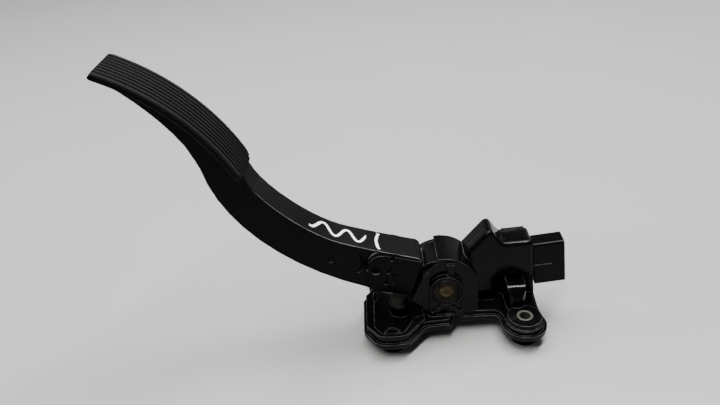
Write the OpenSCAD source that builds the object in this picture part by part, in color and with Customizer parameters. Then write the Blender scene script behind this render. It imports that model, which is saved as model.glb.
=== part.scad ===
// Accelerator pedal: a curved lever with a ribbed pad, carried by a moulded bracket that holds
// its pivot, its two return springs and a contactless position sensor with a plug socket.
// X runs from the pad towards the socket, Y away from the side with the open bearing, Z up.
// The origin is midway between the two front bolts, on the plane that the feet stand on.

/* [Mounting] */
// Distance from the front bolt pair to the rear bolt
bolt_reach = 80; // [78:0.5:86]
// Distance between the two front bolts
bolt_spread = 43; // [42:0.5:46]
// Bore of the three bolt sleeves
sleeve_bore = 6.6; // [6:0.1:7.4]
// Wall of the bolt sleeves
sleeve_wall = 1.4; // [1.2:0.05:1.8]
// Wall of the feet around the sleeves
foot_wall = 3.1; // [2.4:0.05:3.6]
// Height of the feet
foot_h = 7; // [5:0.5:9]
// Radius of the flange lobes around the bolts
lobe_r = 13.3; // [12.8:0.1:14]
// Height and depth of the relief under the flange edge
flange_relief = 1; // [0.5:0.1:1.2]
// Height of the rear bolt boss above the underside of the base
rear_boss_h = 10; // [9:0.5:12]

/* [Base] */
// Thickness of the base plate
plate_t = 7; // [6:0.5:8]
// Thickness of the outer flange of the base
flange_t = 4; // [3:0.25:5]
// Step from the flange edge to the wall that stands on it
flange_step = 1.8; // [1:0.1:2.4]
// Distance of the front edge of the base from the middle plane
plate_front = 13; // [12.5:0.25:14]
// Distance of the back face of the housing from the middle plane
back = 15; // [14.5:0.25:16]
// Wall of the front tray
tray_wall = 2.8; // [2:0.1:3.5]
// Floor of the front tray
tray_floor = 2; // [1.5:0.25:3]
// Height of the tray rim above the underside of the base
rim_h = 9; // [8:0.5:10]
// Diameter of the full travel bumper
bumper_d = 10.4; // [9:0.2:12]

/* [Pivot] */
// Distance of the pivot from the front bolts
pivot_x = 34; // [33:0.25:36]
// Height of the pivot above the base plate
pivot_rise = 18.5; // [18:0.25:22]
// Diameter of the pivot shaft
shaft_d = 8.6; // [8:0.2:9.6]
// Wall of the two shaft bushes
bush_wall = 1.9; // [1.5:0.1:2.1]
// Radial running clearance of the shaft
run_fit = 0.05; // [0.02:0.01:0.09]
// Full travel of the pedal in degrees
travel = 16; // [12:0.5:17]

/* [Housing] */
// Wall of the housing
wall = 2; // [1.6:0.1:2.4]
// Thickness of the front cheek
cheek_t = 2.4; // [2:0.1:3]
// Distance of the front cheek from the middle plane
cheek_front = 11; // [10.9:0.1:11.5]
// Distance of the bearing boss face from the middle plane
boss_front = 14.5; // [14:0.25:16]
// Radius of the round cover over the hub
arch_r = 21.6; // [21.4:0.1:23]
// Distance of the sensor box face from the middle plane
box_front = 1.5; // [1:0.1:2]
// Length of the sensor box past the pivot
box_reach = 53.3; // [53:0.5:58]
// Height of the box shoulder above the pivot
shoulder_h = 23.6; // [23:0.25:26]
// Height of the spring tower above the pivot
tower_h = 33.6; // [33:0.25:37]
// Edge radius of the sensor box face
box_fillet = 2.5; // [1:0.25:2.75]
// Thickness of the back cover
cover_t = 2.2; // [1.8:0.1:2.6]

/* [Sensor] */
// Tilt of the plug socket in degrees
plug_tilt = 5.4; // [0:0.2:8]
// Height of the plug socket
plug_h = 30; // [28:0.2:31]
// Width of the plug socket
plug_w = 12; // [11.4:0.1:12.4]
// Length of the plug socket outside the box
plug_len = 18.6; // [15:0.2:24]
// Wall of the plug socket
plug_wall = 1.8; // [1.2:0.1:2]
// Number of terminals
pins = 6; // [6:1:6]
// Distance between the terminals
pin_pitch = 3.6; // [3:0.1:3.9]
// Thickness of the circuit board
board_t = 1.2; // [0.8:0.1:1.6]
// Depth of the two arc magnets along the shaft
magnet_w = 3.5; // [2.5:0.25:5]
// Thickness of the two arc magnets
magnet_t = 2; // [1.5:0.1:2.4]

/* [Springs] */
// Distance of the springs from the pivot
tail_reach = 27.4; // [27:0.2:29]
// Outer diameter of the outer spring
outer_spring_d = 9.2; // [8.6:0.1:9.4]
// Wire of the outer spring
outer_wire = 1.2; // [1:0.05:1.3]
// Outer diameter of the inner spring
inner_spring_d = 5.8; // [5:0.1:6]
// Wire of the inner spring
inner_wire = 0.9; // [0.7:0.05:1]
// Turns of the outer spring
outer_turns = 7; // [5:1:8]
// Turns of the inner spring
inner_turns = 8; // [6:1:10]

/* [Lever] */
// Width of the lever arm
arm_w = 21; // [19:0.25:21.4]
// Wall of the lever arm
arm_wall = 2.5; // [2:0.1:3]
// Width of the pad
pad_w = 32; // [28:0.5:40]
// Length of the pad along its chord
pad_len = 93.3; // [88:0.5:96]
// Height of the pad's crown above its chord
pad_crown = 8.6; // [7:0.2:11]
// Thickness of the pad plate
pad_t = 4.2; // [3.6:0.2:5]
// Number of grooves in the pad
grooves = 8; // [6:1:10]
// Width of a groove
groove_w = 1.4; // [0.8:0.1:1.8]
// Depth of a groove
groove_deep = 1; // [0.5:0.1:1.5]
// Diameter of the pin that locks the arm to the hub
lock_pin_d = 4.6; // [3:0.2:5]

/* [Hidden] */
$fn = 48;

// Heights
plate_top = foot_h + plate_t;
tray_top = foot_h + tray_floor;
boss_top = foot_h + rear_boss_h;
pivot_z = plate_top + pivot_rise;
half_spread = bolt_spread / 2;
sleeve_r = sleeve_bore / 2 + sleeve_wall;
foot_r = sleeve_r + foot_wall;
fit_gap = 0.2;
flat_gap = 0.1;
stop_gap = 0.3;

// Depths along the shaft, front face first
shaft_r = shaft_d / 2;
bush_r = shaft_r + run_fit + bush_wall;
bush_flange_r = bush_r + 0.9;
bush_flange_t = 1.2;
cheek_inner = -cheek_front + cheek_t;
friction_t = 1.1;
thrust_t = 0.6;
hub_front = cheek_inner + flat_gap + friction_t + flat_gap + thrust_t + flat_gap;
hub_side_gap = 0.3;
drum_front = cheek_inner + hub_side_gap;
cover_inner = back - cover_t;
standoff = 0.7;
board_back = cover_inner - standoff;
board_front = board_back - board_t;
chip_t = 1;
chip_gap = 0.4;
hub_back = board_front - chip_t - chip_gap;
drum_plate_back = board_front - 0.6;
drum_back = cover_inner - 0.3;

// Section helpers. Outline entries are [x, y, corner radius], listed counterclockwise.
function unit(v) = v / norm(v);
function turned(v, a) = [v.x * cos(a) - v.y * sin(a), v.x * sin(a) + v.y * cos(a)];
function xy(p) = [p.x, p.y];
function around(list, i) = list[(i + len(list)) % len(list)];
function corner(a, p, b, r, n) =
    let (
        u = unit(a - p),
        w = unit(b - p),
        half = acos(u * w) / 2,
        centre = p + unit(u + w) * r / sin(half),
        start = p + u * r / tan(half) - centre,
        sweep = -sign(cross(u, w)) * (180 - 2 * half)
    ) [for (i = [0:n]) centre + turned(start, sweep * i / n)];
function rounded(pts, n = 4) = [
    for (i = [0:len(pts) - 1])
        each corner(xy(around(pts, i - 1)), xy(pts[i]), xy(around(pts, i + 1)), max(pts[i][2], 0.3), n)
];
function inset(pts, t) = [
    for (i = [0:len(pts) - 1])
        let (
            d1 = unit(xy(pts[i]) - xy(around(pts, i - 1))),
            d2 = unit(xy(around(pts, i + 1)) - xy(pts[i])),
            n1 = [-d1.y, d1.x],
            n2 = [-d2.y, d2.x],
            q = xy(pts[i]) + (n1 + n2) * t / (1 + n1 * n2)
        ) [q.x, q.y, max(pts[i][2] - sign(cross(d1, d2)) * t, 0.3)]
];
function bezier(p, n) = [
    for (i = [0:n])
        let (t = i / n, s = 1 - t)
        s * s * s * p[0] + 3 * s * s * t * p[1] + 3 * s * t * t * p[2] + t * t * t * p[3]
];
// A path moved sideways by d, to the left of its direction when d is positive
function shifted(path, d) = [
    for (i = [0:len(path) - 1])
        let (dir = unit(path[min(i + 1, len(path) - 1)] - path[max(i - 1, 0)]))
        path[i] + d * [-dir.y, dir.x]
];
function reversed(list) = [for (i = [len(list) - 1:-1:0]) list[i]];

// An XZ section drawn out between two depths
module slab(y0, y1) { translate([0, y1, 0]) rotate([90, 0, 0]) linear_extrude(y1 - y0) children(); }
module rod(r, y0, y1) { translate([0, y1, 0]) rotate([90, 0, 0]) cylinder(r = r, h = y1 - y0); }
module at_pivot() { translate([pivot_x, 0, pivot_z]) children(); }
module at_bolts() {
    translate([0, -half_spread, 0]) children();
    translate([0, half_spread, 0]) children();
    translate([bolt_reach, -half_spread, 0]) children();
}

// A closed skin over equal-length loops, each loop a list of 3D points. The end faces are fans
// round the two centres, so an end may be concave as long as its centre sees all of it.
module skin(loops, centres) {
    n = len(loops[0]);
    m = len(loops);
    first = n * m;
    sides = [
        for (k = [0:m - 2], i = [0:n - 1])
            [k * n + i, k * n + (i + 1) % n, (k + 1) * n + (i + 1) % n, (k + 1) * n + i]
    ];
    ends = [
        for (i = [0:n - 1]) each [
            [first, (i + 1) % n, i],
            [first + 1, (m - 1) * n + i, (m - 1) * n + (i + 1) % n]
        ]
    ];
    polyhedron(concat([for (loop = loops) each loop], centres), concat(ends, sides), convexity = 6);
}

// Base and tray, seen from above
base_end = pivot_x + box_reach + 5;
tray_left = -17;
tray_right = 20;
base_outline = [
    [tray_left, -half_spread - 0.5, 5],
    [-8, -half_spread - lobe_r + 0.2, 8],
    [8.6, -half_spread - lobe_r + 0.2, 8],
    [20.6, -plate_front - 7.6, 5],
    [36.6, -plate_front - 6.6, 2.5],
    [38.2, -plate_front, 1],
    [bolt_reach - 15, -plate_front, 4],
    [bolt_reach - 0.94 * lobe_r, -half_spread - 0.34 * lobe_r, 1],
    [bolt_reach + 0.87 * lobe_r, -half_spread + 0.5 * lobe_r, 2],
    [base_end - 1, -5, 3],
    [base_end, back, 2],
    [22, back, 6],
    [0.77 * lobe_r, half_spread + 0.64 * lobe_r, 1],
    [-0.94 * lobe_r, half_spread + 0.34 * lobe_r, 1],
    [-lobe_r + 0.6, 13, 2],
    [tray_left, 8, 4]
];

module base_2d(t) {
    polygon(rounded(inset(base_outline, t)));
    translate([0, -half_spread]) circle(lobe_r - t);
    translate([0, half_spread]) circle(lobe_r - t);
    translate([bolt_reach, -half_spread]) circle(lobe_r - t);
}

module tray_2d(t) {
    intersection() {
        base_2d(t);
        translate([-40, -60]) square([40 + tray_right, 120]);
    }
}

tray_mouth = [
    [tray_left + 6.5, -half_spread - lobe_r + 4.9, 3.5],
    [6.8, -half_spread - lobe_r + 4.9, 4],
    [13.8, -plate_front - 4.4, 4],
    [16.5, -plate_front - 2.2, 3],
    [2 * tray_right, -plate_front - 2.2, 1],
    [2 * tray_right, 2 * half_spread, 1],
    [tray_left + 6.5, 2 * half_spread, 1]
];

// Sensor box, seen from the front
box_bottom = plate_top - 1.5;
tower_x = pivot_x + tail_reach;
box_end = pivot_x + box_reach;
end_slope = tan(plug_tilt);
peak = [tower_x, pivot_z + tower_h];
shoulder = [box_end, pivot_z + shoulder_h];
leg_x = tower_x + 5.4;
recess_top = pivot_z - 1.2;
recess_deep = 6.5;
parting_step = 0.05;
box_left = [
    [tower_x, peak.y, 3],
    [pivot_x + 9, peak.y - 1.17 * (tower_x - pivot_x - 9), 3],
    [pivot_x + 9, box_bottom, 3]
];
box_top = [
    [shoulder.x, shoulder.y, 3],
    [tower_x + 7.8, shoulder.y - 0.9, 3]
];
face_outline = concat(
    [
        [leg_x, box_bottom, 3],
        [leg_x, recess_top, 4.2],
        [shoulder.x + (shoulder.y - recess_top) * end_slope, recess_top, 3]
    ],
    box_top,
    box_left
);
box_outline = concat([[shoulder.x + (shoulder.y - box_bottom) * end_slope, box_bottom, 1]], box_top, box_left);

// Round cover and cheek, seen from the front
arch_c = [pivot_x - 2, pivot_z];
arch_left = pivot_x - 5;

module arch_2d(t) {
    translate(arch_c) circle(arch_r - t);
    translate([arch_c.x - arch_r + t, plate_top - 1]) square([2 * (arch_r - t), pivot_z - plate_top + 1]);
}

module cheek_2d() {
    intersection() {
        arch_2d(0);
        translate([arch_left, 0]) square([60, 100]);
    }
    polygon([
        [arch_left + 1, plate_top - 1],
        [arch_left + 1, pivot_z + 20],
        [pivot_x - 11, pivot_z + 13.2],
        [pivot_x - 14, pivot_z + 11],
        [pivot_x - 14, plate_top - 1]
    ]);
}

module face_slab() {
    steps = 4;
    edge = [
        for (k = [0:steps])
            let (a = 90 * k / steps)
            [box_fillet * (1 - sin(a)), box_fillet * (1 - cos(a)) - box_front]
    ];
    inner_end = recess_deep - wall / 4;
    skin([
        for (e = concat(edge, [[0, inner_end]]))
            [for (p = rounded(inset(face_outline, e[0]))) [p.x, e[1], p.y]]
    ], [[tower_x - 2, -box_front, pivot_z + 8], [tower_x - 2, inner_end, pivot_z + 8]]);
}

module shell() {
    difference() {
        union() {
            slab(-cheek_front, cheek_inner) cheek_2d();
            slab(cheek_inner, back) intersection() {
                arch_2d(0);
                translate([arch_left, 0]) square([60, 100]);
            }
            face_slab();
            slab(recess_deep - wall, back) polygon(rounded(inset(box_outline, parting_step)));
            slab(back - wall, back) polygon([
                [tower_x + 8.6, shoulder.y - 2],
                [box_end - 2, shoulder.y - 2],
                [box_end - 2.8, shoulder.y + 1],
                [tower_x + 9.4, shoulder.y + 0.2]
            ]);
        }
        slab(cheek_inner, back + 1) arch_2d(wall);
        slab(-box_front + wall, back + 1) polygon(rounded(inset(face_outline, wall)));
        slab(recess_deep, back + 1) intersection() {
            polygon(rounded(inset(box_outline, wall)));
            square([200, recess_top + 6]);
        }
    }
}

// Front bearing bracket: a slanted web and an arched boss with a gusset below it
boss_r = bush_flange_r + 3.4;
module bracket() {
    slab(-plate_front, -cheek_front) polygon([
        [pivot_x - 10, plate_top - 1],
        [pivot_x - 10, pivot_z + 12.6],
        [pivot_x - 13.4, pivot_z + 11.9],
        [pivot_x - 22.2, pivot_z - 9.6],
        [pivot_x - 20.2, pivot_z - 14],
        [pivot_x - 12, plate_top + 1.4]
    ]);
    difference() {
        slab(-boss_front, -cheek_front) boss_2d(boss_r);
        at_pivot() difference() {
            rod(bush_flange_r + 2.2, -boss_front - 1, -boss_front + 1);
            rod(bush_flange_r + 1.2, -boss_front - 2, -boss_front + 2);
        }
        slab(-boss_front - 1, -boss_front + 1.3) gusset_pockets();
    }
    slab(-plate_front, -cheek_front) translate([pivot_x + 0.5, pivot_z + boss_r - 1]) square([4.6, 8.6]);
}

module boss_2d(r) {
    translate([pivot_x, pivot_z]) circle(r);
    translate([pivot_x - r, plate_top - 1]) square([2 * r, pivot_z - plate_top + 1]);
}

module gusset_pockets() {
    low = plate_top + 1.2;
    high = pivot_z - boss_r + 1.6;
    side = boss_r - 1.6;
    translate([pivot_x, 0]) {
        polygon([[-side, low + 1.4], [-side, high + 2], [-2.6, high - 0.8]]);
        polygon([[side, low + 1.4], [side, high + 2], [2.6, high - 0.8]]);
        polygon([[-side + 2.2, low], [side - 2.2, low], [0, high - 2.4]]);
    }
}

// Screw bosses of the back cover, as [x, z, depth where the boss starts]
screw_r = 1.2;
screw_boss_r = 3;
screw_deep = 5.5;
screw_head_r = 2.6;
screw_head_t = 1.7;
screw_recess_r = 0.95;
screw_end = cover_inner - screw_deep;
screws = [
    [pivot_x - 10, plate_top + 4, cheek_inner],
    [pivot_x + 15.5, plate_top + 4.5, cheek_inner],
    [box_end - 2.6, plate_top + 4.5, recess_deep - wall + 0.3],
    [box_end - 4, shoulder.y - 4.2, 0.8 - box_front],
    [pivot_x + 16.5, pivot_z + tower_h - 19.1, 0.8 - box_front]
];
module at_screws() {
    for (s = screws) translate([s.x, 0, s.y]) children();
}

module screw_bosses() {
    for (s = screws) translate([s.x, 0, s.y]) rod(screw_boss_r, s.z, cover_inner);
    for (i = [0:2])
        translate([screws[i].x - screw_boss_r / 2, screws[i].z, plate_top - 1])
            cube([screw_boss_r, cover_inner - screws[i].z, screws[i].y - plate_top + 1]);
}

// Buttress behind the rear bolt boss: a round-fronted pillar whose top curves down to the front
buttress_half = 5.6;
buttress_x = (leg_x + box_end) / 2;
module buttress() {
    nose = -box_front - 13;
    top = recess_top - 1.3;
    bend = 9;
    intersection() {
        translate([buttress_x, 0, foot_h]) linear_extrude(60) {
            translate([0, nose + buttress_half]) circle(buttress_half);
            translate([-buttress_half, nose + buttress_half])
                square([2 * buttress_half, recess_deep - nose - buttress_half]);
        }
        rotate([90, 0, 90]) linear_extrude(2 * bolt_reach) {
            translate([nose + bend, top - bend]) circle(bend);
            translate([nose, 0]) square([bend, top - bend]);
            translate([nose + bend, 0]) square([recess_deep - nose - bend, top]);
        }
    }
}

// Seat of the stop bumper on the tray floor
bumper_x = 6;
bumper_y = -1;
bumper_seat_h = 7.2;
bumper_seat_wall = 1.4;
module bumper_seat() {
    translate([bumper_x, bumper_y, foot_h])
        cylinder(r = bumper_d / 2 + bumper_seat_wall, h = tray_floor + bumper_seat_h);
}

// Post under the spring tail
tail_front = 1.2;
tail_back = 10;
stop_post_half = 4;
idle_pad_t = 3;
tail_low = pivot_z - 2.5;
tail_high = pivot_z + 1.5;
post_top = tail_low - stop_gap - idle_pad_t;
module idle_post() {
    translate([tower_x - stop_post_half, tail_front, plate_top - 1])
        cube([2 * stop_post_half, tail_back - tail_front, post_top - plate_top + 1]);
}

// Pockets under the base plate, between ribs
module base_pockets() {
    rib = 1.8;
    depth = plate_t - 2.6;
    cell = (base_end - tray_right - 14) / 4;
    for (i = [0:3], j = [0:1])
        translate([tray_right + 5 + i * cell, j == 0 ? -plate_front + 4 : 2, foot_h - 1])
            cube([cell - rib, j == 0 ? plate_front - 4.8 : back - 5, depth + 1]);
}

// Place of the plug socket on the slanted end wall
plug_z = pivot_z + 5;
plug_front = 0;
plug_back = plug_front + plug_w;
tongue_half = plug_h / 2 - 3.8;
tongue_front = plug_front + 1.4;
tongue_back = plug_back - 1.4;
module plug_frame() {
    translate([box_end + (shoulder.y - plug_z) * end_slope, 0, plug_z]) rotate([0, -plug_tilt, 0]) children();
}

module housing() {
    color("#17181a") difference() {
        union() {
            translate([0, 0, foot_h]) linear_extrude(flange_relief) base_2d(flange_relief);
            translate([0, 0, foot_h + flange_relief]) linear_extrude(flange_t - flange_relief) base_2d(0);
            translate([0, 0, foot_h]) linear_extrude(plate_t) base_2d(flange_step);
            difference() {
                translate([0, 0, foot_h]) linear_extrude(rim_h) tray_2d(flange_step);
                translate([pivot_x - 20, -plate_front + 2, plate_top]) cube([40, 2 * plate_front, 20]);
            }
            translate([bolt_reach, -half_spread, foot_h]) cylinder(r1 = 11.2, r2 = 10, h = rear_boss_h - 0.2);
            at_bolts() cylinder(r = foot_r, h = foot_h + flange_t);
            buttress();
            shell();
            bracket();
            screw_bosses();
            idle_post();
        }
        difference() {
            translate([0, 0, tray_top]) linear_extrude(rim_h + 1) intersection() {
                tray_2d(flange_step + tray_wall);
                polygon(rounded(tray_mouth));
            }
            bumper_seat();
        }
        base_pockets();
        at_bolts() translate([0, 0, -1]) cylinder(r = sleeve_r, h = boss_top + 10);
        translate([bumper_x, bumper_y, tray_top]) cylinder(r = bumper_d / 2 + fit_gap, h = 20);
        at_pivot() {
            rod(bush_r, -boss_front - 1, 0);
            rod(bush_flange_r + fit_gap, -boss_front - 1, -boss_front + bush_flange_t + fit_gap);
        }
        at_screws() rod(screw_r + 0.05, screw_end - 0.5, cover_inner + 1);
        plug_frame()
            translate([-8, tongue_front - fit_gap, -tongue_half - fit_gap])
                cube([12, tongue_back - tongue_front + 2 * fit_gap, 2 * (tongue_half + fit_gap)]);
    }
}

// Back cover: a plate set into the housing walls, with the rear bearing
module cover_2d() {
    gap = wall + fit_gap;
    intersection() {
        union() {
            arch_2d(gap);
            polygon(rounded(inset(box_outline, gap)));
        }
        translate([tray_right + 0.5, plate_top + flat_gap]) square([200, 100]);
    }
}

module side_cover() {
    color("#1b1c1e") difference() {
        union() {
            slab(cover_inner, back) cover_2d();
            at_pivot() {
                rod(bush_r + 1.4, hub_back + 1, cover_inner + 1);
                rod(bush_r + 3, cover_inner + 1, back + 1.4);
            }
            for (p = stakes) translate([p.x, 0, p.y]) {
                rod(2, board_back, cover_inner + 1);
                rod(stake_r, board_front - 0.6, cover_inner + 1);
            }
            cover_ribs();
        }
        at_pivot() rod(bush_r, 0, back - 0.2);
        at_screws() rod(screw_r + 0.35, 0, back + 5);
    }
}

module cover_ribs() {
    rib_t = 1.4;
    difference() {
        slab(back - 0.5, back + 1) for (a = [20, -25, 160, 205])
            translate([pivot_x, pivot_z]) rotate(a) translate([0, -rib_t / 2]) square([17, rib_t]);
        at_pivot() rod(bush_r + 1, 0, back + 5);
        at_screws() rod(screw_head_r + 1, 0, back + 5);
    }
}

module cover_screws() {
    color("#8d9094") at_screws() difference() {
        union() {
            rod(screw_r, screw_end, back + 1);
            rod(screw_head_r, back, back + screw_head_t);
        }
        rod(screw_recess_r, back + screw_head_t - 1, back + 3);
    }
}

// Plug socket with its terminals
module plug_socket() {
    color("#121314") difference() {
        plug_frame() difference() {
            union() {
                translate([flat_gap, 0, 0]) plug_tube(0, plug_len);
                translate([-6, tongue_front, -tongue_half])
                    cube([6 + plug_wall, tongue_back - tongue_front, 2 * tongue_half]);
                translate([flat_gap, plug_front - 0.5, -0.6]) cube([10.5, 2, 0.8]);
                plug_catch();
            }
            translate([4.5, 0, 0]) plug_tube(plug_wall, plug_len);
        }
        for (i = [1:pins]) terminal_shape(i);
    }
}

module plug_tube(t, len) {
    rotate([90, 0, 90]) linear_extrude(len) polygon(rounded([
        [plug_front + t, -plug_h / 2 + t, 1.6],
        [plug_back - t, -plug_h / 2 + t, 1.6],
        [plug_back - t, plug_h / 2 - t, 1.6],
        [plug_front + t, plug_h / 2 - t, 1.6]
    ]));
}

module plug_catch() {
    translate([0, 0, -4]) linear_extrude(8) polygon([
        [plug_len - 9, plug_back - 0.5],
        [plug_len - 3, plug_back - 0.5],
        [plug_len - 3, plug_back],
        [plug_len - 8, plug_back + 1.6],
        [plug_len - 9, plug_back + 1.6]
    ]);
}

pin_y = (plug_front + plug_back) / 2;
pin_w = 1;
pin_thick = 0.64;
pin_tip = plug_len - 7.5;
pin_root = -7.2;
module terminal_shape(i) {
    plug_frame() translate([0, 0, (i - (pins + 1) / 2) * pin_pitch - pin_w / 2]) linear_extrude(pin_w) polygon([
        [pin_root, board_front],
        [pin_root, pin_y - pin_thick / 2],
        [pin_tip - 1, pin_y - pin_thick / 2],
        [pin_tip, pin_y - pin_thick / 6],
        [pin_tip, pin_y + pin_thick / 6],
        [pin_tip - 1, pin_y + pin_thick / 2],
        [pin_root + pin_thick, pin_y + pin_thick / 2],
        [pin_root + pin_thick, board_front]
    ]);
}

module terminal(i) {
    color("#c9b16a") terminal_shape(i);
}

// Circuit board and its two field sensors, which face the arc magnets
stake_r = 0.9;
stakes = [
    [pivot_x + 18, pivot_z + 6],
    [box_end - 15.3, pivot_z - 5],
    [box_end - 11.8, pivot_z + 13]
];
board_end_gap = 4.7;
board_round_r = 13.6;
board_step = 11;
board_right = box_end - board_end_gap;
module circuit_board() {
    high = plug_z + pins / 2 * pin_pitch - 0.2;
    half = bush_r + 2.9;
    color("#1d5c3a") difference() {
        slab(board_front, board_back) {
            translate([pivot_x, pivot_z]) circle(board_round_r);
            polygon(rounded([
                [pivot_x, pivot_z + 1 - half, 0.5],
                [board_right + 1.6, pivot_z + 1 - half, 1.5],
                [board_right, high, 1.5],
                [board_right - board_step, high, 1.5],
                [board_right - board_step - 2, pivot_z + half, 2],
                [pivot_x, pivot_z + half, 0.5]
            ]));
        }
        at_pivot() rod(bush_r + 1.9, 0, back);
        for (p = stakes) translate([p.x, 0, p.y]) rod(stake_r + 0.1, 0, back);
    }
}

magnet_r = bush_r + 2.6;
yoke_t = 1.4;
yoke_r = magnet_r + magnet_t + yoke_t;
module hall_sensor(i) {
    size = 3.4;
    color("#26272a") at_pivot() rotate([0, i == 1 ? -58 : 122, 0])
        translate([magnet_r + magnet_t / 2 - 1.6, board_front - chip_t, -size / 2])
            cube([size, chip_t, size]);
}

module ring(r0, r1, y0, y1) {
    difference() {
        rod(r1, y0, y1);
        rod(r0, y0 - 1, y1 + 1);
    }
}

module magnet_yoke() {
    color("#9a9da1") at_pivot() ring(magnet_r + magnet_t, yoke_r, hub_back - magnet_w, hub_back);
}

module magnet(i) {
    reach = 40;
    half = 68;
    color("#55585c") at_pivot() rotate([0, i == 1 ? -50 : 130, 0]) intersection() {
        ring(magnet_r, magnet_r + magnet_t, hub_back - magnet_w, hub_back);
        slab(0, back) polygon([
            [0, 0],
            reach * [cos(half), -sin(half)],
            [reach, -reach],
            [reach, reach],
            reach * [cos(half), sin(half)]
        ]);
    }
}

// Shaft, bushes and washers
module pivot_shaft() {
    color("#c8a24a") at_pivot() difference() {
        rod(shaft_r, -boss_front + 0.4, back - 1);
        rod(1.6, -boss_front, -boss_front + 1.1);
    }
}

module near_bush() {
    color("#6f6a45") at_pivot() difference() {
        union() {
            rod(bush_r, -boss_front + 0.2, cheek_inner);
            rod(bush_flange_r, -boss_front + 0.2, -boss_front + bush_flange_t);
        }
        rod(shaft_r + run_fit, -boss_front - 1, 0);
    }
}

module far_bush() {
    color("#6f6a45") at_pivot() ring(shaft_r + run_fit, bush_r, hub_back + 1, back - 0.8);
}

washer_width = 5.5;
washer_r = shaft_r + washer_width;
module friction_washer() {
    color("#3d3a34") at_pivot()
        ring(shaft_r + stop_gap, washer_r, cheek_inner + flat_gap, cheek_inner + flat_gap + friction_t);
}

module thrust_washer() {
    color("#a8abae") at_pivot()
        ring(shaft_r + stop_gap, washer_r - 0.5, hub_front - flat_gap - thrust_t, hub_front - flat_gap);
}

// Lever outlines, as places relative to the pivot
pivot = [pivot_x, pivot_z];
function from_pivot(path) = [for (p = path) pivot + p];
end_low = pivot + [-20.8, -4.6];
end_high = pivot + [-13.4, 18.6];
notch = pivot + [-44.5, 1.1];
arm_top = from_pivot(concat(
    bezier([[-109.6, 82.8], [-105, 68.5], [-79, 44.5], [-61, 37.3]], 10),
    [for (p = bezier([[-61, 37.3], [-52, 33.8], [-33, 27.8], [-18.4, 23.7]], 5)) if (p.x > -60.9) p],
    [[-16.2, 23.1], [-14.3, 21.5]]
));
arm_bottom = from_pivot(concat(
    bezier([[-169.4, 140.2], [-158, 131.4], [-136.5, 109.5], [-132.7, 90.3]], 8),
    [for (p = bezier([[-132.7, 90.3], [-127.9, 58.5], [-98.1, 22.8], [-46, 3.3]], 10)) if (p.y < 90.2) p]
));

// Pad: a curved plate whose crown lies along its length
pad_mid = pivot + [-142.1, 117.45];
pad_tilt = 44.8;
pad_r = pad_len * pad_len / 8 / pad_crown + pad_crown / 2;
function on_pad(x, r) =
    pad_mid + turned([x, pad_crown - pad_r + sqrt(r * r - x * x)], -pad_tilt);
function pad_path(r, x0, x1, n) = [for (i = [0:n]) on_pad(x0 + (x1 - x0) * i / n, r)];

function arm_outline(d) = concat(
    shifted(arm_bottom, d),
    [notch, end_low, end_high],
    reversed(arm_top),
    pad_path(pad_r - pad_t / 2, pad_len / 2 - 4, 7 - pad_len / 2, 10)
);

module arm_cavity_2d() {
    polygon(concat(
        pad_path(pad_r - pad_t, 11.5 - pad_len / 2, pad_len / 2 - 8, 10),
        [for (p = shifted(arm_top, -arm_wall)) if (p.x > on_pad(pad_len / 2 - 6, pad_r).x) p],
        [end_high + [0.5, -2.2], end_high + [10, -2.2], [pivot_x, -50], [-250, -50]]
    ));
}

arm_half = arm_w / 2;
channel_half = arm_half - arm_wall;
shank_half = channel_half - 0.2;
pin_at = pivot + [-41.6, 15.2];
module arm_ribs() {
    rib_t = 1.5;
    first = pivot_x - 129;
    step = 11.5;
    intersection() {
        slab(-channel_half - 0.1, channel_half + 0.1) polygon(arm_outline(1.8));
        for (i = [0:6]) let (s = i % 2 == 0 ? 1 : -1)
            linear_extrude(200) polygon([
                [first + i * step, -s * (channel_half + 0.1)],
                [first + i * step + rib_t, -s * (channel_half + 0.1)],
                [first + (i + 1) * step + rib_t, s * (channel_half + 0.1)],
                [first + (i + 1) * step, s * (channel_half + 0.1)]
            ]);
    }
}

// Recessed panel, latch slots and pin hole on both sides of the arm's end
panel_deep = 0.5;
panel_left = pin_at.x - 5;
panel_top = pin_at.y + 13.9;
panel_bend = 9;
module panel_2d() {
    polygon(rounded([
        [panel_left, pin_at.y - 12, 1.5],
        [pivot_x, pivot_z - 30, 1],
        [pivot_x, pivot_z + 16.3, 1],
        [panel_left, panel_top, panel_bend]
    ]));
}
module panel_grooves_2d() {
    groove = 1.3;
    outer_r = 11.5;
    difference() {
        intersection() {
            translate([panel_left + panel_bend, panel_top - panel_bend]) circle(panel_bend + groove);
            translate([panel_left - 15, pin_at.y + 1]) square([22, 20]);
        }
        translate([panel_left + panel_bend, panel_top - panel_bend]) circle(panel_bend);
    }
    translate([panel_left - 13.2, pin_at.y + 7.6]) difference() {
        intersection() {
            circle(outer_r);
            translate([6.2, -7.6]) square([10, 14.5]);
        }
        circle(outer_r - groove);
    }
}
latch_places = [[-31.2, 24.1], [-33.7, 15.2], [-35.9, 7.1]];
module latch_slots() {
    for (p = latch_places)
        translate([pivot_x + p.x, 0, pivot_z + p.y]) rotate([0, 10, 0])
            translate([-0.75, -arm_half - 1, -2.5]) cube([1.5, arm_w + 2, 5]);
}
module latch_lugs() {
    lug_out = arm_half - panel_deep + 0.4;
    for (p = latch_places, side = [-1, 1])
        translate([pivot_x + p.x + 3.2, side * (lug_out - 1), pivot_z + p.y - 3]) rotate([0, -15, 0])
            translate([-1.1, -1, -0.6]) cube([2.2, 2, 1.2]);
}

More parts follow.
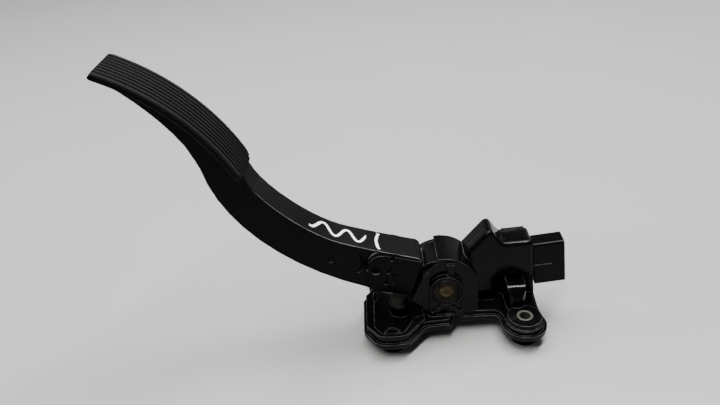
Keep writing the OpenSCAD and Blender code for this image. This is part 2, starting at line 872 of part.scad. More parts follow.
module at_pad() { translate([pad_mid.x, 0, pad_mid.y]) rotate([0, pad_tilt, 0]) children(); }
module pad_plan() {
    near_tip = 3;
    near_heel = 6;
    half = pad_w / 2;
    end = pad_len / 2;
    translate([-end, -half + near_tip]) square([pad_len, pad_w - 2 * near_tip]);
    translate([near_tip - end, -half]) square([pad_len - near_tip - near_heel, pad_w]);
    difference() {
        translate([end - 2 * near_heel, -half]) square([2 * near_heel, pad_w]);
        translate([end - near_heel, -half - 1]) square([near_heel + 1, pad_w + 2]);
    }
    for (s = [-1, 1]) {
        translate([near_tip - end, s * (half - near_tip)]) circle(near_tip);
        translate([end - near_heel, s * (half - near_heel)]) circle(near_heel);
    }
}
module pad() {
    pitch = pad_w / (grooves + 1);
    at_pad() difference() {
        intersection() {
            translate([0, 0, pad_crown - pad_r]) ring(pad_r - pad_t, pad_r, -pad_w, pad_w, $fn = 240);
            translate([0, 0, -30]) linear_extrude(60) pad_plan();
        }
        translate([0, 0, pad_crown - pad_r]) for (i = [1:grooves]) let (y = i * pitch - pad_w / 2)
            ring(pad_r - groove_deep, pad_r + 2, y - groove_w / 2, y + groove_w / 2, $fn = 240);
    }
}

module pedal_arm() {
    color("#1c1d1f") difference() {
        union() {
            difference() {
                slab(-arm_half, arm_half) polygon(arm_outline(0));
                slab(-channel_half, channel_half) arm_cavity_2d();
                for (s = [-1, 1]) translate([0, s * arm_half, 0]) {
                    slab(-panel_deep, panel_deep) panel_2d();
                    slab(-2 * panel_deep, 2 * panel_deep) panel_grooves_2d();
                }
            }
            arm_ribs();
            latch_lugs();
            pad();
        }
        translate([pin_at.x, 0, pin_at.y]) rod(lock_pin_d / 2 + fit_gap, -arm_half - 1, arm_half + 1);
        for (s = [-1, 1]) translate([pin_at.x - 25.8, s * arm_half, pin_at.y + 10.1]) rod(1.9, -0.6, 0.6);
        latch_slots();
    }
}

module lock_pin() {
    color("#0f0f10") translate([pin_at.x, 0, pin_at.y]) difference() {
        rod(lock_pin_d / 2, 1.5 - arm_half, arm_half - 1.5);
        rod(0.9, -arm_half, 2.5 - arm_half);
    }
}

// Hub: boss on the shaft, shank into the arm, round drum under the cover, tail under the springs
hub_r = yoke_r + 0.6;
drum_r = arch_r - wall - 0.5;
drum_t = 2;
spring_y = (tail_front + tail_back) / 2;
shank_outline = [
    notch + [0.3, 0],
    end_low,
    pivot + [-10, -8.4],
    pivot,
    pivot + [-9, 14.6],
    pivot + [-12.6, 15.4],
    pivot + [-16.6, 17.7],
    pivot + [-19.5, 20.4],
    pivot + [-46, 29],
    pivot + [-46, 3.8]
];
collar_outline = [
    pivot + [-14.2, 11.6],
    pivot + [-11.4, 9.6],
    pivot + [-4.4, 18.5],
    pivot + [-8.2, 18.1],
    pivot + [-11, 17.2],
    pivot + [-12.6, 15.8]
];
module drum_2d(r0) {
    reach = 40;
    intersection() {
        translate(pivot) difference() {
            circle(drum_r);
            circle(r0);
        }
        translate(pivot) polygon([
            [0, 0],
            reach * [cos(88), sin(88)],
            [-reach, reach],
            reach * [cos(140), sin(140)]
        ]);
    }
}

module tail() {
    slab(tail_front, tail_back) polygon([
        pivot + [5, -9],
        pivot + [18, -5.4],
        [tower_x - 3, tail_low],
        [tower_x - 3, tail_high],
        pivot + [18, 3.2],
        pivot + [5, 7]
    ]);
    intersection() {
        slab(tail_front, tail_back) translate([tower_x - 10, tail_low - 1]) square([20, 20]);
        translate([tower_x, spring_y, tail_low]) union() {
            cylinder(r1 = 3.4, r2 = 4.7, h = 2.2);
            translate([0, 0, 2.2]) cylinder(r = 4.7, h = tail_high - tail_low - 2.2);
            cylinder(r = inner_spring_d / 2 - inner_wire - 0.35, h = tail_high - tail_low + 2.4);
        }
    }
}

module lever_hub() {
    core = shank_half - 2.2;
    color("#232427") difference() {
        union() {
            at_pivot() rod(hub_r, hub_front, hub_back);
            slab(-shank_half, shank_half) polygon(shank_outline);
            slab(drum_front, drum_back) {
                polygon(collar_outline);
                drum_2d(drum_r - drum_t);
            }
            slab(drum_front, drum_front + 2) drum_2d(hub_r - 1);
            slab(drum_plate_back - 2, drum_plate_back) drum_2d(hub_r - 1);
            tail();
        }
        at_pivot() {
            rod(shaft_r, -back, back);
            rod(washer_r + stop_gap, -back, hub_front);
            ring(magnet_r, yoke_r, hub_back - magnet_w, back);
            rod(yoke_r + stop_gap, hub_back, back);
        }
        translate([pin_at.x, 0, pin_at.y]) rod(lock_pin_d / 2, -arm_w, arm_w);
        slab(-core, core) polygon(rounded([
            [notch.x + 8.5, notch.y + 3.2, 1],
            [end_low.x - 2, end_low.y + 3.2, 1],
            [end_low.x, end_low.y + 25, 1],
            [notch.x + 8.5, notch.y + 28, 1]
        ], 2));
    }
}

// Return springs: closed end turns, and even pitch between them
spring_low = tail_high;
spring_high = pivot_z + tower_h - 10.6;
dead_turns = 0.75;
function coil_rise(t, turns) =
    let (active = turns - 2 * dead_turns)
    [
        min(t, dead_turns) + max(t - turns + dead_turns, 0),
        min(max(t - dead_turns, 0), active) / active
    ];
module coil(d, wire, turns, per_turn, sides) {
    r = (d - wire) / 2;
    dead_pitch = wire * 1.05;
    span = spring_high - spring_low - wire - 2 * dead_turns * dead_pitch;
    steps = turns * per_turn;
    path = [
        for (k = [0:steps])
            let (rise = coil_rise(k / per_turn, turns))
            [360 * k / per_turn, spring_low + wire / 2 + rise[0] * dead_pitch + rise[1] * span]
    ];
    function on_wire(p, q, up) = [tower_x + q * cos(p[0]), spring_y + q * sin(p[0]), p[1] + up];
    skin([
        for (p = path) [
            for (j = [sides - 1:-1:0])
                let (a = 360 * j / sides)
                on_wire(p, r + wire / 2 * cos(a), wire / 2 * sin(a))
        ]
    ], [on_wire(path[0], r, 0), on_wire(path[steps], r, 0)]);
}

module outer_spring() {
    color("#8a8d92") coil(outer_spring_d, outer_wire, outer_turns, 18, 8);
}

module inner_spring() {
    color("#9fa2a6") coil(inner_spring_d, inner_wire, inner_turns, 14, 6);
}

module spring_seat() {
    seat_gap = 0.15;
    seat_right = tower_x + outer_spring_d / 2 + 0.6;
    color("#2b2c2f") {
        difference() {
            slab(seat_gap - box_front + wall, board_front - 0.3) intersection() {
                polygon(rounded(inset(box_outline, wall + seat_gap)));
                translate([0, spring_high]) square([seat_right, 100]);
            }
            slab(seat_gap - box_front + wall + 1.4, board_front + 1) intersection() {
                polygon(rounded(inset(box_outline, wall + seat_gap + 1.4)));
                translate([0, spring_high + 1.6]) square([seat_right - 1.4, 100]);
            }
        }
        translate([tower_x, spring_y, spring_high - 2.6])
            cylinder(r = inner_spring_d / 2 - inner_wire - 0.35, h = 3);
    }
}

// Stops
function swung(p, a) = pivot + turned(p - pivot, a);
function low_edge(x) =
    let (a = swung(notch, travel), b = swung(end_low, travel))
    a.y + (x - a.x) * (b.y - a.y) / (b.x - a.x);
bumper_top = min(low_edge(bumper_x - bumper_d / 2), low_edge(bumper_x + bumper_d / 2)) - fit_gap;
module stop_bumper() {
    r = bumper_d / 2;
    neck = r - 0.8;
    rings = 2;
    step = (bumper_top - tray_top - bumper_seat_h - 0.4) / rings;
    foot = tray_top + bumper_seat_h + 0.4;
    color("#5d5b45") translate([bumper_x, bumper_y, 0]) rotate_extrude() polygon(concat(
        [[0, tray_top], [r, tray_top], [r, foot]],
        [
            for (i = [0:rings - 1]) each [
                [neck, foot + i * step + 0.3],
                [neck, foot + i * step + 0.6],
                [r, foot + i * step + 1.1],
                [r, foot + (i + 1) * step - (i == rings - 1 ? 0.5 : 0)]
            ]
        ],
        [[neck, bumper_top], [0, bumper_top]]
    ));
}

module idle_stop() {
    half = stop_post_half - 0.6;
    color("#54523f") difference() {
        translate([tower_x - half, tail_front + 1, post_top])
            cube([2 * half, tail_back - tail_front - 2, idle_pad_t]);
        for (i = [-1:1])
            translate([tower_x + i * 2 - 0.3, 0, post_top + idle_pad_t - 0.8]) cube([0.6, back, 2]);
    }
}

// Compression sleeves of the bolts
module sleeve(at, top) {
    color("#8b8a78") translate(at) difference() {
        cylinder(r = sleeve_r, h = top);
        translate([0, 0, -1]) cylinder(r = sleeve_bore / 2, h = top + 2);
    }
}
module front_sleeve_near() { sleeve([0, -half_spread, 0], tray_top); }
module front_sleeve_far() { sleeve([0, half_spread, 0], tray_top); }
module rear_sleeve() { sleeve([bolt_reach, -half_spread, 0], boss_top); }

housing();
side_cover();
cover_screws();
plug_socket();
terminal(1);  // terminal_1
terminal(2);  // terminal_2
terminal(3);  // terminal_3
terminal(4);  // terminal_4
terminal(5);  // terminal_5
terminal(6);  // terminal_6
circuit_board();
hall_sensor(1);  // hall_sensor_1
hall_sensor(2);  // hall_sensor_2
magnet_yoke();
magnet(1);  // magnet_1
magnet(2);  // magnet_2
pivot_shaft();
near_bush();
far_bush();
friction_washer();
thrust_washer();
lever_hub();
pedal_arm();
lock_pin();
outer_spring();
inner_spring();
spring_seat();
stop_bumper();
idle_stop();
front_sleeve_near();
front_sleeve_far();
rear_sleeve();
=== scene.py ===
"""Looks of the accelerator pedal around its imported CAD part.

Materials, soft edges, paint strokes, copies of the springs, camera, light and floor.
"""

import math

import bpy
from mathutils import Matrix, Vector


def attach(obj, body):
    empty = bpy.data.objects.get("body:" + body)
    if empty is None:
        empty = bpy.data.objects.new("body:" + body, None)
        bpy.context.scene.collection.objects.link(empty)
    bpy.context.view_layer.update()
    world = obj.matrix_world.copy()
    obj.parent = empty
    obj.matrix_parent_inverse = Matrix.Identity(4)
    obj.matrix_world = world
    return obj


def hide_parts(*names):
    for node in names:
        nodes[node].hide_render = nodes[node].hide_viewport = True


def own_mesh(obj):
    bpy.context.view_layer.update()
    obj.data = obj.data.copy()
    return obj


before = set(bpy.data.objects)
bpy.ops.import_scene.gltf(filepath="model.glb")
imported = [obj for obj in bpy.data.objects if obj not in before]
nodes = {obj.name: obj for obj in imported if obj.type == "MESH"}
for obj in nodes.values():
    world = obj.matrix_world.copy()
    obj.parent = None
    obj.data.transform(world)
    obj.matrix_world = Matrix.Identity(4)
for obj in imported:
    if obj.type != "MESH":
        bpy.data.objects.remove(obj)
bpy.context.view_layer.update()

MM = 0.001

# Places and sizes of the CAD part that the looks follow, in metres.
PIVOT = Vector((0.034, 0.0, 0.0325))
PAD_CENTRE = Vector((-0.1942, 0.0, 0.06325))  # centre of the arc that the pad's face follows
PAD_R = 0.1308
PAD_W = 0.032
PAD_END = -0.07  # the pad's lower end, along X
GROOVES = 8

# Colours of dust and paint, of painted highlights on edges, and of groove dirt with painted shade.
DUST = (0.09, 0.085, 0.075)
ARM_DUST = (0.09, 0.087, 0.08)
# Painted highlights on edges that look up: moulded parts, then the arm.
EDGE_HIGHLIGHT = (0.17, 0.17, 0.175)
ARM_EDGE_HIGHLIGHT = (0.11, 0.11, 0.108)
PAINT = (0.82, 0.82, 0.8)
# Dirt and painted shade on the pad's groove floors.
GROOVE_DIRT_AND_SHADE = (0.0002, 0.0002, 0.0002)

# Ranges of noise that become soft clouds and small specks.
CLOUDS = (0.3, 0.75)
SPECKS = (0.62, 0.8)


class Shader:
    """A material under construction, with short calls for the nodes that it uses."""

    def __init__(self, name, metallic=0.0, specular=0.5):
        self.material = bpy.data.materials.new(name)
        self.material.use_nodes = True
        self.tree = self.material.node_tree
        self.tree.nodes.clear()
        self.out = self.tree.nodes.new("ShaderNodeOutputMaterial")
        self.bsdf = self.tree.nodes.new("ShaderNodeBsdfPrincipled")
        self.link(self.bsdf.outputs[0], self.out.inputs["Surface"])
        self.bsdf.inputs["Metallic"].default_value = metallic
        self.bsdf.inputs["Specular IOR Level"].default_value = specular
        self.coords = self.tree.nodes.new("ShaderNodeTexCoord").outputs["Object"]

    def link(self, source, target):
        self.tree.links.new(source, target)

    def put(self, value, target):
        """A socket is linked, and a number or colour becomes the target's own value."""
        if hasattr(value, "links"):
            self.link(value, target)
        else:
            target.default_value = value

    def noise(self, scale, detail=3.0, rough=0.5, coords=None):
        """Noise with features about 1/scale metres across."""
        node = self.tree.nodes.new("ShaderNodeTexNoise")
        node.inputs["Scale"].default_value = scale
        node.inputs["Detail"].default_value = detail
        node.inputs["Roughness"].default_value = rough
        self.link(coords or self.coords, node.inputs["Vector"])
        return node.outputs["Fac"]

    def voronoi(self, scale, feature="F1"):
        """Cells about 1/scale metres across."""
        node = self.tree.nodes.new("ShaderNodeTexVoronoi")
        node.feature = feature
        node.inputs["Scale"].default_value = scale
        self.link(self.coords, node.inputs["Vector"])
        return node.outputs["Distance"]

    def stretched(self, x, y, z):
        """Coordinates that draw a pattern out along the axes with small factors."""
        node = self.tree.nodes.new("ShaderNodeMapping")
        node.inputs["Scale"].default_value = (x, y, z)
        self.link(self.coords, node.inputs["Vector"])
        return node.outputs["Vector"]

    def math(self, operation, a, b=0.0):
        node = self.tree.nodes.new("ShaderNodeMath")
        node.operation = operation
        self.put(a, node.inputs[0])
        self.put(b, node.inputs[1])
        return node.outputs[0]

    def times(self, first, *others):
        for other in others:
            first = self.math("MULTIPLY", first, other)
        return first

    def plus(self, first, *others):
        for other in others:
            first = self.math("ADD", first, other)
        return first

    def minus(self, a, b):
        return self.math("SUBTRACT", a, b)

    def size(self, value):
        """The value without its sign."""
        return self.math("ABSOLUTE", value)

    def length(self, a, b):
        """The length of the line from (0, 0) to (a, b)."""
        return self.math("SQRT", self.plus(self.times(a, a), self.times(b, b)))

    def remap(self, value, low, high, to_low=0.0, to_high=1.0):
        """A smooth step from to_low to to_high, as the value goes from low to high."""
        node = self.tree.nodes.new("ShaderNodeMapRange")
        node.clamp = True
        node.interpolation_type = "SMOOTHSTEP"
        self.put(value, node.inputs["Value"])
        ends = {"From Min": low, "From Max": high, "To Min": to_low, "To Max": to_high}
        for key, number in ends.items():
            node.inputs[key].default_value = number
        return node.outputs["Result"]

    def below(self, value, low, high):
        """1 below low, 0 above high, and a smooth step between them."""
        return self.remap(value, low, high, 1.0, 0.0)

    def mix(self, factor, a, b):
        """A colour mix; a and b are colours or sockets."""
        node = self.tree.nodes.new("ShaderNodeMix")
        node.data_type = "RGBA"
        self.put(factor, node.inputs["Factor"])
        self.put(a if hasattr(a, "links") else (*a, 1.0), node.inputs[6])
        self.put(b if hasattr(b, "links") else (*b, 1.0), node.inputs[7])
        return node.outputs[2]

    def axes(self, source=None):
        """X, Y and Z of a vector, or of the object's own coordinates."""
        node = self.tree.nodes.new("ShaderNodeSeparateXYZ")
        self.link(source or self.coords, node.inputs[0])
        return node.outputs

    def normal(self):
        """The surface's own direction, as X, Y and Z."""
        node = self.tree.nodes.new("ShaderNodeTexCoord")
        return self.axes(node.outputs["Normal"])

    def rounded(self, radius):
        """A normal that turns smoothly over each edge, as on a moulded corner."""
        node = self.tree.nodes.new("ShaderNodeBevel")
        node.samples = 6
        node.inputs["Radius"].default_value = radius
        return node.outputs["Normal"]

    def edges(self, rounded):
        """Where a rounded normal leaves the face's own, on edges that look up: the mask of a
        painted highlight.
        """
        face = self.tree.nodes.new("ShaderNodeNewGeometry").outputs["True Normal"]
        dot = self.tree.nodes.new("ShaderNodeVectorMath")
        dot.operation = "DOT_PRODUCT"
        self.link(rounded, dot.inputs[0])
        self.link(face, dot.inputs[1])
        turned = self.below(dot.outputs["Value"], 0.8, 0.93)
        return self.times(turned, self.remap(self.axes(rounded)[2], 0.4, 0.7))

    def bump(self, height, strength, distance, below=None):
        """A bump of a height, on top of the normal below."""
        node = self.tree.nodes.new("ShaderNodeBump")
        node.inputs["Strength"].default_value = strength
        node.inputs["Distance"].default_value = distance
        self.link(height, node.inputs["Height"])
        if below is not None:
            self.link(below, node.inputs["Normal"])
        return node.outputs["Normal"]

    def finish(self, color, rough, normal=None):
        color = color if hasattr(color, "links") else (*color, 1.0)
        self.put(color, self.bsdf.inputs["Base Color"])
        self.put(rough, self.bsdf.inputs["Roughness"])
        if normal is not None:
            self.link(normal, self.bsdf.inputs["Normal"])
        return self.material


def moulded(name, color, rough, grain=0.25, wave=0.12, specular=0.2, dust=0.12, edge=0.0):
    """Moulded plastic: fine grain, slow waviness, uneven gloss and a little dust.

    edge is the radius in mm of corners that shading rounds, with a painted highlight on those that
    look up.
    """
    s = Shader(name, specular=specular)
    cloud = s.noise(24.0, 4.0, 0.6)
    specks = s.remap(s.noise(900.0, 5.0, 0.7), *SPECKS)
    dusty = s.times(specks, s.remap(cloud, 0.35, 0.75, 0.1, dust))
    lighter = tuple(c * 1.6 + 0.001 for c in color)
    base = s.mix(s.remap(cloud, *CLOUDS), color, lighter)
    base = s.mix(dusty, base, DUST)
    gloss = s.plus(s.remap(cloud, 0.3, 0.7, rough - 0.05, rough + 0.06), s.times(dusty, 0.5))
    turned = None
    if edge:
        turned = s.rounded(edge * MM)
        # Painted highlight: edges that look up are lightened where a lamp's reflection would fall,
        # broken up by noise.
        highlight_breakup = s.remap(s.noise(210.0, 3.0, 0.6), 0.35, 0.62, 0.25, 1.0)
        base = s.mix(s.times(s.edges(turned), highlight_breakup, 0.8), base, EDGE_HIGHLIGHT)
    grained = s.bump(s.noise(2600.0, 4.0, 0.6), grain, 0.06 * MM, turned)
    wavy = s.bump(s.noise(55.0, 3.0, 0.5), wave, 0.6 * MM, grained)
    return s.finish(base, gloss, wavy)


def metal(name, color, rough, along=(1.0, 1.0, 1.0), tarnish=None, metallic=1.0, specular=0.5):
    """Worked metal: fine tool lines along one direction, and tarnish in patches."""
    s = Shader(name, metallic=metallic, specular=specular)
    lines = s.noise(900.0, 4.0, 0.6, s.stretched(*along))
    patches = s.noise(300.0, 4.0, 0.6)
    dull = tarnish or tuple(c * 0.55 for c in color)
    base = s.mix(s.remap(patches, 0.4, 0.68), color, dull)
    uneven = s.remap(patches, 0.35, 0.7, rough, rough + 0.2)
    gloss = s.plus(uneven, s.remap(lines, 0.3, 0.7, -0.05, 0.05))
    return s.finish(base, gloss, s.bump(lines, 0.3, 0.04 * MM))


def arm_plastic():
    """Arm and pad: gloss sides, grained matt top, a painted highlight along the arm's upward
    edges, dirt with painted shade in the grooves and plain paint strokes.
    """
    s = Shader("arm_moulding", specular=0.06)
    x, y, z = s.axes()
    _, ny, nz = s.normal()
    cloud = s.noise(26.0, 4.0, 0.6)
    shade = s.remap(cloud, *CLOUDS)
    sideways = s.size(ny)
    up = s.below(sideways, 0.25, 0.55)
    side_color = s.mix(shade, (0.001, 0.001, 0.0011), (0.002, 0.002, 0.0022))
    top_color = s.mix(shade, (0.0012, 0.0012, 0.0013), (0.0026, 0.0026, 0.0027))
    base = s.mix(up, side_color, top_color)

    # Painted highlight: a light line along the arm's upward edges beyond the pad, where a lamp's
    # reflection falls.
    corner = s.times(s.remap(sideways, 0.2, 0.4), s.below(sideways, 0.8, 0.95))
    corner = s.times(corner, s.remap(nz, 0.3, 0.55), s.remap(x, PAD_END - 12 * MM, PAD_END))
    highlight_breakup = s.remap(s.noise(180.0, 3.0, 0.6), 0.3, 0.6, 0.5, 1.0)
    base = s.mix(s.times(corner, highlight_breakup), base, ARM_EDGE_HIGHLIGHT)
    specks = s.remap(s.noise(1100.0, 5.0, 0.7), *SPECKS)
    base = s.mix(s.times(specks, 0.06), base, ARM_DUST)

    dirty_shaded_grooves, crowned = pad_masks(s, x, y, z)
    ridges = s.mix(shade, (0.0085, 0.0085, 0.0085), (0.0125, 0.0125, 0.0122))
    base = s.mix(crowned, base, ridges)
    # Painted shade with dirt: groove floors and the ridges' shaded edges go near black.
    base = s.mix(dirty_shaded_grooves, base, GROOVE_DIRT_AND_SHADE)
    mark = paint_mark(s, x, y, s.remap(nz, 0.5, 0.8))
    base = s.mix(mark, base, PAINT)

    gloss = s.plus(s.times(up, 0.27), s.remap(cloud, 0.3, 0.7, 0.15, 0.21), s.times(crowned, 0.5))
    grain = s.bump(s.voronoi(1500.0), 0.25, 0.12 * MM)
    grain = s.bump(s.noise(2300.0, 4.0, 0.65), 0.35, 0.08 * MM, grain)
    grain = s.bump(s.noise(50.0, 3.0, 0.5), 0.1, 0.6 * MM, grain)
    grain = s.bump(mark, 0.5, 0.1 * MM, grain)
    return s.finish(base, gloss, grain)


def pad_masks(s, x, y, z):
    """The pad's groove floors, darkened with dirt and painted shade, and its whole crowned face.
    """
    radius = s.length(s.minus(x, PAD_CENTRE.x), s.minus(z, PAD_CENTRE.z))
    face = s.remap(radius, PAD_R - 1.5 * MM, PAD_R - 1.2 * MM)
    face = s.times(face, s.below(x, PAD_END - 2 * MM, PAD_END))
    pitch = PAD_W / (GROOVES + 1)
    turns = s.math("FRACT", s.math("DIVIDE", s.plus(y, (PAD_W + pitch) / 2), pitch))
    # The dark band runs wider than the groove floor, taking in the ridges' edges as painted shade.
    line = s.below(s.size(s.minus(turns, 0.5)), 0.23, 0.31)
    inner = s.below(s.size(y), PAD_W / 2 - 1.6 * MM, PAD_W / 2 - 1.2 * MM)
    return s.times(face, line, inner), face


def paint_mark(s, x, y, up):
    """Plain paint-pen strokes across the arm: a long wave and one short bowed bar."""
    high, often = 4.6 * MM, 470.0
    half, fade = 0.62 * MM, 0.28 * MM
    wave_start, wave_end = -44.5 * MM, -12 * MM
    bar_x, bar_end, bow = -6.2 * MM, 8.2 * MM, 22.0
    blunt = 0.5 * MM

    ragged = s.times(s.minus(s.noise(420.0, 3.0, 0.6), 0.5), 0.9 * MM)
    turn = s.times(x, often)
    wave = s.times(s.math("SINE", turn), high)
    slope = s.times(s.math("COSINE", turn), high * often)
    steep = s.math("SQRT", s.plus(s.times(slope, slope), 1.0))
    off_wave = s.math("DIVIDE", s.size(s.plus(s.minus(y, wave), ragged)), steep)
    long_stroke = s.times(s.below(off_wave, half, half + fade),
                          s.remap(x, wave_start, wave_start + blunt),
                          s.below(x, wave_end - blunt, wave_end))

    off_bar = s.size(s.plus(s.minus(x, bar_x), s.minus(ragged, s.times(y, y, bow))))
    bar = s.times(s.below(off_bar, half, half + fade),
                  s.below(s.size(y), bar_end - 0.4 * MM, bar_end))
    return s.times(s.math("MAXIMUM", long_stroke, bar), up)


def board_mask():
    """Green solder mask over copper tracks."""
    s = Shader("solder_mask", specular=0.6)
    tracks = s.below(s.voronoi(420.0, "DISTANCE_TO_EDGE"), 0.02, 0.06)
    base = s.mix(tracks, (0.012, 0.09, 0.04), (0.03, 0.17, 0.08))
    gloss = s.remap(s.noise(200.0), 0.3, 0.7, 0.25, 0.4)
    return s.finish(base, gloss, s.bump(tracks, 0.4, 0.05 * MM))


def rubber(name, color):
    """Dull, finely pitted rubber."""
    s = Shader(name, specular=0.35)
    cloud = s.noise(160.0, 3.0, 0.5)
    base = s.mix(s.remap(cloud, 0.35, 0.7), color, tuple(c * 1.6 for c in color))
    pits = s.bump(s.noise(1900.0, 5.0, 0.7), 0.5, 0.1 * MM)
    return s.finish(base, s.remap(cloud, 0.3, 0.7, 0.5, 0.68), pits)


def shaft_face():
    """Turned and tarnished shaft: rings round the pivot axis, darker in patches."""
    s = Shader("shaft_face", metallic=1.0)
    x, _, z = s.axes()
    radius = s.length(s.minus(x, PIVOT.x), s.minus(z, PIVOT.z))
    rings = s.math("SINE", s.times(radius, 9000.0))
    patches = s.noise(420.0, 4.0, 0.6)
    base = s.mix(s.remap(patches, 0.35, 0.7), (0.06, 0.046, 0.028), (0.03, 0.023, 0.014))
    gloss = s.remap(patches, 0.3, 0.7, 0.32, 0.5)
    return s.finish(base, gloss, s.bump(rings, 0.15, 0.03 * MM))


GLOSS = moulded("housing_moulding", (0.0008, 0.0008, 0.0009), 0.11,
                grain=0.08, wave=0.3, specular=0.1, edge=0.7)
COVER = moulded("cover_moulding", (0.002, 0.002, 0.0022), 0.26, grain=0.3, specular=0.12)
SOCKET = moulded("socket_moulding", (0.0008, 0.0008, 0.0009), 0.17,
                 grain=0.15, specular=0.08, edge=0.6)
HUB = moulded("hub_moulding", (0.001, 0.001, 0.0011), 0.15, grain=0.12, specular=0.1, edge=0.6)
PIN = moulded("pin_moulding", (0.0006, 0.0006, 0.0006), 0.5, grain=0.2, specular=0.04, dust=0.0)
WASHER = moulded("washer_moulding", (0.05, 0.045, 0.035), 0.45)
CHIP = moulded("chip_case", (0.006, 0.006, 0.0065), 0.5)
ARM = arm_plastic()
RUBBER = rubber("bumper_rubber", (0.014, 0.0135, 0.01))
SHAFT = shaft_face()
BUSH = metal("sintered_bush", (0.018, 0.017, 0.01), 0.42, tarnish=(0.01, 0.009, 0.006))
SLEEVE = metal("dull_sleeve", (0.055, 0.054, 0.043), 0.38, along=(1.0, 1.0, 0.1),
               tarnish=(0.034, 0.033, 0.026), metallic=0.3, specular=0.2)
# Painted shade: the front sleeves get a darker copy of the sleeve metal, as they sit in the tray's
# shade.
SHADED = metal("shaded_sleeve", (0.008, 0.008, 0.007), 0.45, tarnish=(0.005, 0.005, 0.0045),
               metallic=0.4, specular=0.12)
STEEL = metal("plated_steel", (0.5, 0.5, 0.48), 0.3)
SPRING = metal("spring_wire", (0.33, 0.34, 0.36), 0.32, along=(0.2, 0.2, 1.0))
MAGNET = metal("sintered_magnet", (0.16, 0.16, 0.165), 0.5)
TERMINAL = metal("tinned_brass", (0.66, 0.6, 0.42), 0.26)
BOARD = board_mask()

LOOKS = {
    "housing": GLOSS, "side_cover": COVER, "cover_screws": STEEL, "plug_socket": SOCKET,
    "circuit_board": BOARD, "hall_sensor_1": CHIP, "hall_sensor_2": CHIP, "magnet_yoke": STEEL,
    "magnet_1": MAGNET, "magnet_2": MAGNET, "pivot_shaft": SHAFT,
    "near_bush": BUSH, "far_bush": BUSH, "friction_washer": WASHER, "thrust_washer": STEEL,
    "lever_hub": HUB, "pedal_arm": ARM, "lock_pin": PIN,
    "outer_spring": SPRING, "inner_spring": SPRING, "spring_seat": HUB,
    "stop_bumper": RUBBER, "idle_stop": RUBBER,
    "front_sleeve_near": SHADED, "front_sleeve_far": SHADED, "rear_sleeve": SLEEVE,
}
LOOKS.update({f"terminal_{i}": TERMINAL for i in range(1, 7)})

# Widths of the edges that modifiers round, in mm, and the nodes whose edges stay as modelled.
EDGE = {
    "side_cover": 0.35, "pedal_arm": 0.6,
    "rear_sleeve": 0.3, "front_sleeve_near": 0.3, "front_sleeve_far": 0.3, "pivot_shaft": 0.3,
    "near_bush": 0.2, "far_bush": 0.2, "stop_bumper": 0.3, "idle_stop": 0.2, "cover_screws": 0.2,
    "lock_pin": 0.25,
}
SMALL_EDGE = 0.12
NO_EDGE = {"housing", "plug_socket", "lever_hub", "outer_spring", "inner_spring"}


def soften(obj, width):
    """A small rounded edge, as every moulded or turned piece has."""
    weld = obj.modifiers.new("joined_faces", "WELD")
    weld.merge_threshold = 0.004 * MM
    flat = obj.modifiers.new("whole_faces", "DECIMATE")
    flat.decimate_type = "DISSOLVE"
    flat.angle_limit = math.radians(0.5)
    bevel = obj.modifiers.new("soft_edge", "BEVEL")
    bevel.width = width * MM
    bevel.segments = 2
    bevel.limit_method = "ANGLE"
    bevel.angle_limit = math.radians(32)
    bevel.use_clamp_overlap = False
    bevel.loop_slide = False
    even = obj.modifiers.new("even_shading", "WEIGHTED_NORMAL")
    even.mode = "FACE_AREA_WITH_ANGLE"
    even.weight = 60


for name, obj in nodes.items():
    obj.data.materials.clear()
    obj.data.materials.append(LOOKS[name])
    if name not in NO_EDGE:
        soften(obj, EDGE.get(name, SMALL_EDGE))


def add(name, data):
    """A new object in the scene."""
    obj = bpy.data.objects.new(name, data)
    bpy.context.scene.collection.objects.link(obj)
    return obj


def compressed(name, node):
    """A copy of a return spring, attached to the bracket in place of the imported one, which is
    hidden.
    """
    piece = add(name, nodes[node].data.copy())
    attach(piece, "bracket")
    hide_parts(node)
    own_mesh(piece)


compressed("outer_coil", "outer_spring")
compressed("inner_coil", "inner_spring")


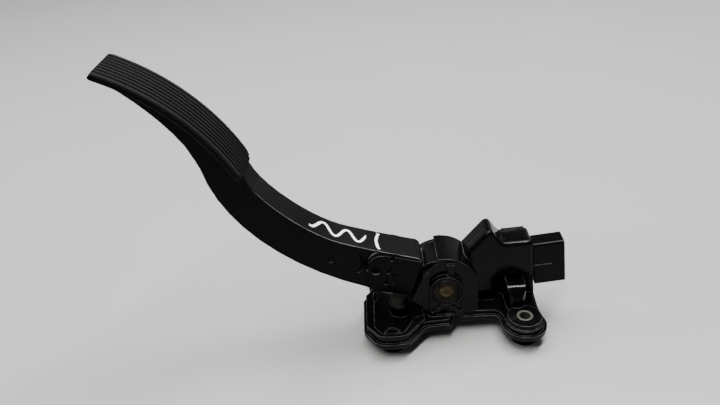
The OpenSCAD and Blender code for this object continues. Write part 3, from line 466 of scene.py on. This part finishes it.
def camera():
    """The photograph's view: looking down by about 31 degrees and rolled a little."""
    at = (-0.0024, -0.3322, 0.2865)
    pitch, roll, yaw = (math.radians(a) for a in (30.6, 4.6, 2.0))
    right = Vector((1, 0, 0))
    ahead = Vector((0, math.cos(pitch), -math.sin(pitch)))
    up = Vector((0, math.sin(pitch), math.cos(pitch)))
    tilted_right = math.cos(roll) * right - math.sin(roll) * up
    tilted_up = math.sin(roll) * right + math.cos(roll) * up
    turn = Matrix.Rotation(yaw, 3, "Z")
    columns = (turn @ tilted_right, turn @ tilted_up, -(turn @ ahead))
    data = bpy.data.cameras.new("camera")
    data.sensor_width = 36.0
    data.lens = 33.5
    data.clip_start = 0.01
    obj = add("camera", data)
    obj.matrix_world = Matrix.Translation(at) @ Matrix(columns).transposed().to_4x4()
    bpy.context.scene.camera = obj


def floor():
    """Plain pale, slightly glossy floor under the feet."""
    half = 3.0
    corners = [(-half, -half, 0), (half, -half, 0), (half, half, 0), (-half, half, 0)]
    mesh = bpy.data.meshes.new("floor")
    mesh.from_pydata(corners, [], [(0, 1, 2, 3)])
    obj = add("floor", mesh)
    s = Shader("pale_floor", specular=0.4)
    cloud = s.noise(6.0, 3.0, 0.5)
    base = s.mix(cloud, (0.29, 0.29, 0.282), (0.31, 0.31, 0.302))
    obj.data.materials.append(s.finish(base, s.remap(cloud, 0.3, 0.7, 0.22, 0.28)))


# Each lamp's place, the point that it faces, its width and height, and its power in watts.
LAMPS = {
    "overhead": ((0.1, 0.55, 1.3), (0, 0, 0.05), (1.4, 0.7), 36),
    "left_fill": ((-1.1, -0.5, 0.9), (0, 0, 0.08), (0.7, 0.7), 4),
    "ceiling_strip": ((0.15, -0.12, 1.5), (0, 0, 0.05), (2.2, 0.06), 56),
    "side_strip": ((-0.75, 0.35, 1.1), (0, 0, 0.05), (0.05, 1.2), 10),
    "far_wall": ((0, 2.6, 0.85), (0, 0, 0.85), (5.0, 1.7), 10.5),
}


def light():
    """Soft studio lamps in a dim grey room."""
    for name, (at, target, (width, height), watts) in LAMPS.items():
        data = bpy.data.lights.new(name, "AREA")
        data.shape = "RECTANGLE"
        data.size, data.size_y = width, height
        data.energy = watts
        obj = add(name, data)
        obj.location = at
        obj.rotation_euler = (Vector(target) - Vector(at)).to_track_quat("-Z", "Y").to_euler()
    world = bpy.data.worlds.new("room")
    world.use_nodes = True
    background = world.node_tree.nodes["Background"]
    background.inputs["Color"].default_value = (0.55, 0.56, 0.57, 1)
    background.inputs["Strength"].default_value = 0.2
    bpy.context.scene.world = world


camera()
floor()
light()
